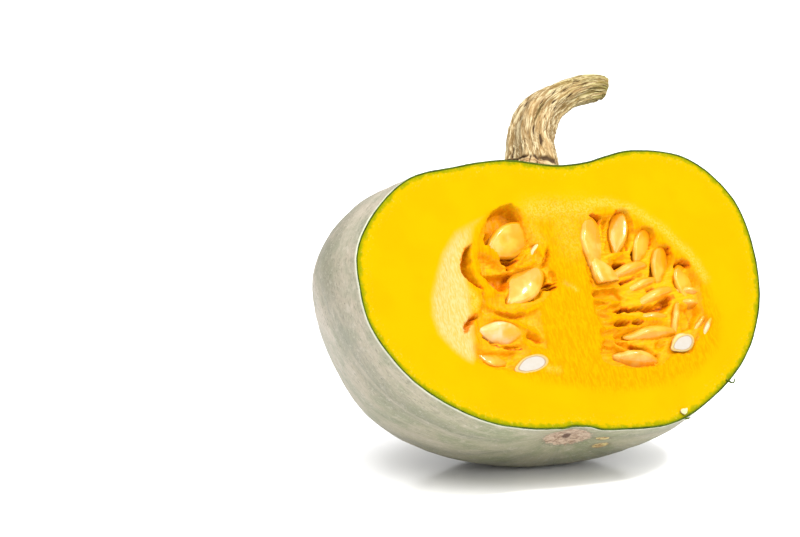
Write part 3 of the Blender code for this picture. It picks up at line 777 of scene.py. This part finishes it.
def stem_material():
    paint = Paint("stem_bark", Roughness=0.8, Specular_IOR_Level=0.2)
    looks = paint.parts(paint.attribute("looks").outputs["Vector"])
    rough, crack, green = looks
    bark = paint.attribute("bark").outputs["Vector"]
    grain = paint.noise(paint.stretch(bark, (1.1, 1.1, 0.16)), 1, 4, 0.65, 0.5)
    lines = paint.noise(paint.stretch(bark, (0.5, 0.5, 0.08)), 1, 3, 0.6, 0.8)
    blotch = paint.noise(paint.stretch(bark, (0.14, 0.14, 0.06)), 1, 3)
    straw = paint.over((0.4, 0.24, 0.08), (0.92, 0.76, 0.44), grain, 0.4, 0.58)
    straw = paint.over(straw, (0.68, 0.44, 0.18), blotch, 0.5, 0.62, 0.6)
    mossy = paint.over((0.26, 0.24, 0.03), (0.59, 0.53, 0.16), grain, 0.36, 0.62)
    colour = paint.mix(green, straw, mossy)
    # Painted shade where the bark sinks: darker brown in its furrows.
    colour = paint.over(colour, (0.36, 0.2, 0.06), rough, 0.2, -0.7, 0.75)
    away = paint.calc("ABSOLUTE", paint.calc("SUBTRACT", lines, 0.5))
    colour = paint.over(colour, (0.24, 0.14, 0.04), away, 0.03, 0.006, 0.8)
    rings = paint.noise(paint.stretch(bark, (0.16, 0.16, 0.9)), 1, 4, 0.65, 0.5)
    foot = paint.over((0.36, 0.15, 0.03), (0.88, 0.68, 0.36), rings, 0.45, 0.6)
    colour = paint.over(colour, foot, paint.parts(bark)[2], 10.0, 8.6, 0.85)
    # Painted shade in the cracks, the crack round the foot and the streak's groove: near black.
    colour = paint.over(colour, (0.09, 0.045, 0.015), crack, 0.1, 0.9, 0.95)
    paint.bump(paint.calc("ADD", grain, lines), 0.8, 0.0007)
    return paint.finish(colour)


# The skin


def make_skin():
    bm = uv_sphere_of_fruit(SKIN_AROUND, SKIN_UP, 0)
    for vertex in bm.verts:
        vertex.co += vertex.normal * SKIN_ROUGH * noise.fractal(vertex.co / SKIN_GRAIN, 0.8, 2, 3)
    cut_front_away(bm)
    behind = bm.verts.layers.float.new("behind_cut")
    scars = bm.verts.layers.float_vector.new("scars")
    for vertex in bm.verts:
        vertex[behind] = vertex.co.y + CUT_IN_FRONT
        blossom, pip, *corks = (
            math.hypot(*[(a - b) / c for a, b, c in zip(vertex.co, middle, reach)])
            for middle, reach in SCARS
        )
        vertex[scars] = (blossom, pip, min(corks))
    skin = lay_down("skin", bm)
    shell = skin.modifiers.new("Thickness", "SOLIDIFY")
    shell.thickness = SKIN * MM
    shell.offset = -1
    shell.material_offset = 1
    shell.material_offset_rim = 1
    skin.data.materials.append(skin_material())
    skin.data.materials.append(skin_edge_material())
    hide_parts("rind")


# The cut face


def face_rings():
    """Shares of the way from the middle of the face to its rim, from the rim in."""
    outer = np.linspace(1, FACE_INNER_SHARE, FACE_OUTER_RINGS + 1)[1:]
    inner = np.linspace(FACE_INNER_SHARE, FACE_LAST_SHARE, FACE_INNER_RINGS + 1)[1:]
    return [*outer, *inner]


def smooth(low, high, value):
    """0 at low, 1 at high, and an even curve between."""
    share = np.clip((value - low) / (high - low), 0, 1)
    return share * share * (3 - 2 * share)


def waves(across, up, size, seed):
    """Smooth random waves between -1 and 1, with the size of a wave across and up in mm."""
    table = np.random.RandomState(seed).uniform(-1, 1, (WAVE_TABLE, WAVE_TABLE))
    x, y = across / size[0] + WAVE_SHIFT[0], up / size[1] + WAVE_SHIFT[1]
    x0, y0 = np.floor(x).astype(int), np.floor(y).astype(int)
    fx, fy = x - x0, y - y0
    fx, fy = fx * fx * (3 - 2 * fx), fy * fy * (3 - 2 * fy)
    left, right, low, high = (cell % WAVE_TABLE for cell in (x0, x0 + 1, y0, y0 + 1))
    a, b = table[left, low], table[right, low]
    c, d = table[left, high], table[right, high]
    return (a * (1 - fx) + b * fx) * (1 - fy) + (c * (1 - fx) + d * fx) * fy


def from_line(across, up, line):
    """Distance from a line of points, and the share of the way along it."""
    nearest = np.full(across.shape, 1e9)
    place = np.zeros(across.shape)
    for index, ((ax, ay), (bx, by)) in enumerate(zip(line, line[1:])):
        dx, dy = bx - ax, by - ay
        t = np.clip(((across - ax) * dx + (up - ay) * dy) / (dx * dx + dy * dy), 0, 1)
        distance = np.hypot(across - ax - t * dx, up - ay - t * dy)
        closer = distance < nearest
        nearest = np.where(closer, distance, nearest)
        place = np.where(closer, (index + t) / (len(line) - 1), place)
    return nearest, place


def inside(across, up, outline):
    """How far inside an outline each point is, in mm, below zero outside it."""
    distance, _ = from_line(across, up, outline + outline[:1])
    crossings = np.zeros(across.shape, bool)
    for (ax, ay), (bx, by) in zip(outline, outline[1:] + outline[:1]):
        if ay != by:
            crossings ^= ((ay > up) != (by > up)) & (across < ax + (up - ay) * (bx - ax) / (by - ay))
    return np.where(crossings, distance, -distance)


def face_relief(across, up):
    """Depth of the cut face behind the knife plane, and how far it is pulp, pale and cream."""
    wide = across + 0.5 * waves(across, up, (2.6, 2.6), 1) + 0.25 * waves(across, up, (1.1, 1.1), 2)
    high = up + 0.5 * waves(across, up, (2.6, 2.6), 3) + 0.25 * waves(across, up, (1.1, 1.1), 4)
    pulp = smooth(-2, 5, inside(across, up, PULP_OUTLINE))
    bevel = smooth(-0.5, 4, inside(across, up, BEVEL)) * (1 - 0.6 * smooth(12, 34, up))
    depth = 1.6 * smooth(0, 12, inside(across, up, BEVEL))
    for deep, side, outline in PITS:
        within = inside(wide, high, outline)
        depth = np.maximum(depth, deep * smooth(-0.3, side + 0.3, within))
    sunk = smooth(1, 4, depth)
    for height, half, line in FOLDS:
        distance, place = from_line(wide, high, line)
        taper = np.minimum(1, 5 * np.minimum(place, 1 - place) + 0.25)
        depth = depth - height * taper * np.exp(-((distance / half) ** 2))
    upright = waves(across, up, (0.9, 7), 5) + 0.7 * waves(across, up, (1.5, 4), 6)
    lying = waves(across, up, (6, 0.9), 7) + 0.7 * waves(across, up, (4, 1.6), 8)
    right = smooth(10, 18, across)
    fibres = upright * (1 - right) + lying * right
    depth = depth + pulp * (0.12 + 0.3 * sunk) * fibres + 0.02 * waves(across, up, (3, 3), 9)
    return np.maximum(depth, 0), pulp, bevel


def face_marks(across, up, marks):
    """How strongly each point of the face is marked by the lines, between 0 and 1."""
    wide = across + 0.5 * waves(across, up, (1.6, 1.6), 11)
    high = up + 0.5 * waves(across, up, (1.6, 1.6), 12)
    total = np.zeros(across.shape)
    for strength, half, line in marks:
        distance, _ = from_line(wide, high, line)
        total = np.maximum(total, strength * np.exp(-((distance / half) ** 2)))
    return total


def make_flesh():
    bm = uv_sphere_of_fruit(FACE_AROUND, FACE_UP, FLESH_INSET)
    edges = cut_front_away(bm)
    long_edges = [edge for edge in edges if edge.calc_length() > FACE_EDGE]
    bmesh.ops.subdivide_edges(bm, edges=long_edges, cuts=1)
    edges = [edge for edge in bm.edges if edge.is_boundary]
    rim = bm.verts.layers.float_vector.new("rim")
    edge_vertices = {vertex for edge in edges for vertex in edge.verts}
    for vertex in edge_vertices:
        vertex[rim] = vertex.co
    middle = FACE_MIDDLE - Vector((0, CUT_IN_FRONT, 0))
    for share in face_rings():
        vertices, edges = next_ring(bm, edges)
        for vertex in vertices:
            vertex.co = middle + (vertex[rim] - middle) * share
    bmesh.ops.holes_fill(bm, edges=edges)
    bmesh.ops.recalc_face_normals(bm, faces=bm.faces)
    looks = bm.verts.layers.float_vector.new("looks")
    marks = bm.verts.layers.float_vector.new("marks")
    front = [vertex for vertex in bm.verts if vertex.co.y < 0.01 - CUT_IN_FRONT]
    across = np.array([vertex.co.x for vertex in front])
    up = np.array([vertex.co.z for vertex in front])
    depth, pulp, bevel = face_relief(across, up)
    # How strongly each point gets the painted shade and stain of the marks, and how pale it is.
    shade_and_stain, pale = face_marks(across, up, SHADE_AND_STAIN_LINES), face_marks(across, up, PALES)
    rim_away = np.array([(vertex.co - vertex[rim]).length for vertex in front])
    for index, vertex in enumerate(front):
        vertex.co.y = -CUT_IN_FRONT + FACE_BACK + depth[index]
        vertex[looks] = (depth[index], pulp[index], bevel[index])
        vertex[marks] = (shade_and_stain[index], pale[index], rim_away[index])
    for face in bm.faces:
        wet = max(vertex[looks].x for vertex in face.verts) > WET_DEPTH
        face.material_index = int(wet and face.verts[0][looks].z < DRY_BEVEL)
    flesh = lay_down("cut_flesh", bm, SKIN / 2)
    flesh.data.materials.append(flesh_material())
    flesh.data.materials.append(pulp_material())
    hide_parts("flesh", "seed_pulp")


# The seeds and the scraps


def seed_point(x, y, z, width):
    """A point of a seed 1 long, from one of a ball: its tip is at low x, its faces look along Y."""
    taper = 1 - 0.34 * max(0.0, -x) ** 1.8
    tip = 1 + 0.10 * smooth(0.75, 1.0, -x)
    beyond = math.hypot(x, z)
    rim = 0.10 * math.exp(-(((beyond - 0.86) / 0.07) ** 2))
    bulge = abs(y) ** 0.75 * (1 + rim) * SEED_THICKNESS
    return Vector((x * tip / 2, math.copysign(bulge, y) / 2, z * width * taper / 2))


def make_seed(number, across, up, depth, turn, roll, length, width, look):
    bm = bmesh.new()
    bmesh.ops.create_uvsphere(bm, u_segments=SEED_SIDES, v_segments=SEED_RINGS, radius=1)
    place = Vector((across, depth - CUT_IN_FRONT, up))
    turned = Matrix.Rotation(-math.radians(turn), 4, "Y") @ Matrix.Rotation(math.radians(roll), 4, "X")
    veiled = bm.verts.layers.float.new("veiled")
    for vertex in bm.verts:
        x, z, y = vertex.co
        vertex[veiled] = 0.5 + x / 2
        point = turned @ (seed_point(x, y, z, width) * length)
        point += SEED_WOBBLE * noise.noise_vector(point / 5 + Vector((number, 0, 0)))
        vertex.co = place + point
    if look == "cut":
        cap = bmesh.ops.holes_fill(bm, edges=cut_front_away(bm))["faces"]
        middle = cap[0].calc_center_median()
        for index, share in enumerate(CAP_SHARES, 1):
            for face in bmesh.ops.inset_region(bm, faces=cap, thickness=0)["faces"]:
                face.material_index = index
            for vertex in cap[0].verts:
                vertex.co = middle + (vertex.co - middle) * share
        cap[0].material_index = len(CAP_SHARES)
    if look == "broken":
        ends = bmesh.ops.bisect_plane(
            bm, geom=bm.verts[:] + bm.edges[:] + bm.faces[:], clear_outer=True,
            plane_co=place + turned @ Vector((0.1 * length, 0, 0)), plane_no=turned @ Vector((1, 0, -0.4)),
        )["geom_cut"]
        bmesh.ops.holes_fill(bm, edges=[part for part in ends if isinstance(part, bmesh.types.BMEdge)])
    seed = lay_down(f"seed_{number:02d}", bm)
    for material in SEED_LOOKS[look]:
        seed.data.materials.append(material)


def make_scraps():
    """A curl of skin at the rim, and a crumb with a shred of skin lower down."""
    crumb_material()
    for name, middle, turn, reach, material in SCRAPS:
        bm = bmesh.new()
        bmesh.ops.create_icosphere(bm, subdivisions=3, radius=1)
        turned = Matrix.Rotation(-math.radians(turn), 3, "Y")
        for vertex in bm.verts:
            x, y, z = vertex.co
            curl = 0.25 * reach[0] * x * x
            point = Vector((x * reach[0], y * reach[1], z * reach[2] * (1 - 0.5 * x) + curl))
            point += 0.3 * noise.noise_vector(point / 1.5 + Vector((len(name), 0, 0)))
            vertex.co = Vector(middle) + turned @ point
        scrap = lay_down(name, bm)
        scrap.data.materials.append(bpy.data.materials[material])


# The stem


def stem_frames():
    """Places and frames along the stem's centre line, from its foot to its blunt end."""
    frames = []
    for index in range(STEM_ALONG + 1):
        here = along(STEM_LINE, index / STEM_ALONG)
        ahead = along(STEM_LINE, min(1.0, (index + 1) / STEM_ALONG))
        behind = along(STEM_LINE, max(0.0, (index - 1) / STEM_ALONG))
        heading = Vector((ahead - behind)[:3])
        tilted = Vector((0, 0, 1)).rotation_difference(heading).to_matrix()
        frames.append((Vector(here[:3]), here[3], tilted))
    return frames


def stem_rough(angle, share, length):
    """Height of the stem's bark in mm above its ribbed shape, how deep in a crack it is, and how
    green."""
    wander = angle + 0.12 * noise.noise(Vector((math.cos(angle) * 2, math.sin(angle) * 2, length / 9)))
    around = Vector((math.cos(wander), math.sin(wander), 0))
    ridges = noise.noise(around * 8 + Vector((0, 0, length / 16)))
    fine = noise.noise(around * 17 + Vector((0, 0, length / 8 + 7)))
    grain = noise.noise(around * 34 + Vector((0, 0, length / 3 + 3)))
    crack = noise.noise(around * 9 + Vector((40, 0, length / 7)))
    crack = min(1.0, max(0.0, crack - 0.36) / 0.2)
    level = length - STEM_FOOT_CRACK - 0.8 * math.sin(3 * angle) - 1.5 * noise.noise(around * 5)
    ring = math.exp(-((level / 1.1) ** 2)) * smooth(-0.7, -0.2, noise.noise(around * 3.5))
    streak = math.exp(-((((wander - STEM_STREAK) % math.tau - 0.016 * (length - 30)) / 0.07) ** 2))
    streak *= smooth(24, 28, length) * (1 - smooth(37, 41, length))
    height = 0.6 * (1 - abs(ridges) * 2.4) + 0.35 * fine + 0.2 * grain
    height -= 1.0 * crack + 1.1 * ring + 0.8 * streak
    green = smooth(0.45, 1.0, share) * (0.55 + 1.2 * ridges) + 1.2 * streak
    return height - 0.2, max(crack, ring, 0.6 * streak), min(1.0, max(0.0, green))


def make_stem():
    bm = bmesh.new()
    start = bmesh.ops.create_circle(bm, segments=STEM_AROUND, radius=1)["verts"]
    angle_of = bm.verts.layers.float.new("angle")
    looks = bm.verts.layers.float_vector.new("looks")
    bark = bm.verts.layers.float_vector.new("bark")
    ring = bm.verts[:]
    for vertex in ring:
        vertex[angle_of] = math.atan2(vertex.co.y, vertex.co.x)
    length = 0.0
    before = None
    frames = stem_frames()
    edges = bm.edges[:]
    for index, (middle, half, tilted) in enumerate(frames):
        share = index / STEM_ALONG
        if before is not None:
            length += (middle - before).length
            ring, edges = next_ring(bm, edges)
        before = middle
        for vertex in ring:
            angle = vertex[angle_of]
            turned = angle + STEM_TWIST * share
            rough, crack, green = stem_rough(turned, share, length)
            out = half * (1 + STEM_RIB_DEPTH * math.cos(STEM_RIBS * turned)) + rough
            direction = Vector((math.cos(angle), math.sin(angle), 0))
            vertex.co = middle + tilted @ (direction * out)
            vertex[looks] = (rough, crack, green)
            vertex[bark] = (10 * math.cos(turned), 10 * math.sin(turned), length)
    end_middle, _, end_tilt = frames[-1]
    for step in range(1, STEM_END_RINGS + 1):
        ring, edges = next_ring(bm, edges)
        for vertex in ring:
            vertex.co = end_middle + (vertex.co - end_middle) * (1 - step / (STEM_END_RINGS + 1))
            vertex.co += end_tilt @ Vector((0, 0, 0.5 - 0.09 * step)) * 0.9
    bmesh.ops.holes_fill(bm, edges=edges)
    bmesh.ops.recalc_face_normals(bm, faces=bm.faces)
    stem = lay_down("stalk", bm)
    stem.data.materials.append(stem_material())
    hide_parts("stem")


# The studio


def add_looking(name, data, aim, across, above, distance):
    """Adds a light or camera that looks at the aim from so far to the right, so far up and so far off."""
    direction = Vector((
        math.sin(across) * math.cos(above), -math.cos(across) * math.cos(above), math.sin(above)
    ))
    obj = add_object(name, data)
    obj.location = direction * distance + aim
    obj.rotation_euler = direction.to_track_quat("Z", "Y").to_euler()
    return obj


def place_light(data, across, above, distance):
    aim = Vector((0, 0, LIGHTS_AIM_UP))
    add_looking(data.name, data, aim, math.radians(across), math.radians(above), distance)


def place_studio():
    bm = bmesh.new()
    bmesh.ops.create_grid(bm, x_segments=1, y_segments=1, size=FLOOR_REACH)
    floor = object_from("floor", bm)
    paint = Paint("floor", Roughness=0.15, Specular_IOR_Level=0.3)
    floor.data.materials.append(paint.finish([FLOOR_WHITE / DIMMED] * 3))
    world = bpy.data.worlds.new("studio")
    world.use_nodes = True
    background = world.node_tree.nodes["Background"]
    background.inputs["Color"].default_value = (1, 1, 1, 1)
    background.inputs["Strength"].default_value = WORLD_LIGHT
    bpy.context.scene.world = world
    for name, across, above, distance, size, watts in BOXES:
        data = bpy.data.lights.new(name, "AREA")
        data.size = size
        data.energy = watts
        place_light(data, across, above, distance)
    for name, across, above, wide, strength in WALLS:
        data = bpy.data.lights.new(name, "SUN")
        data.angle = math.radians(wide)
        data.energy = strength
        place_light(data, across, above, WALL_DISTANCE)


def place_camera():
    data = bpy.data.cameras.new("camera")
    data.lens = CAMERA_LENS
    data.sensor_width = CAMERA_SENSOR
    camera = add_looking("camera", data, LYING @ CAMERA_AIM, CAMERA_ACROSS, CAMERA_ABOVE, CAMERA_DISTANCE)
    bpy.context.scene.camera = camera


SEED_LOOKS = {look: [seed_material(look)] for look in ("amber", "wet", "pale")}
SEED_LOOKS["broken"] = SEED_LOOKS["wet"]
SEED_LOOKS["cut"] = cut_seed_materials()

make_skin()
make_flesh()
for number, place in enumerate(SEEDS, 1):
    make_seed(number, *place)
make_scraps()
make_stem()
place_studio()
place_camera()
bpy.context.scene.view_settings.view_transform = "Standard"
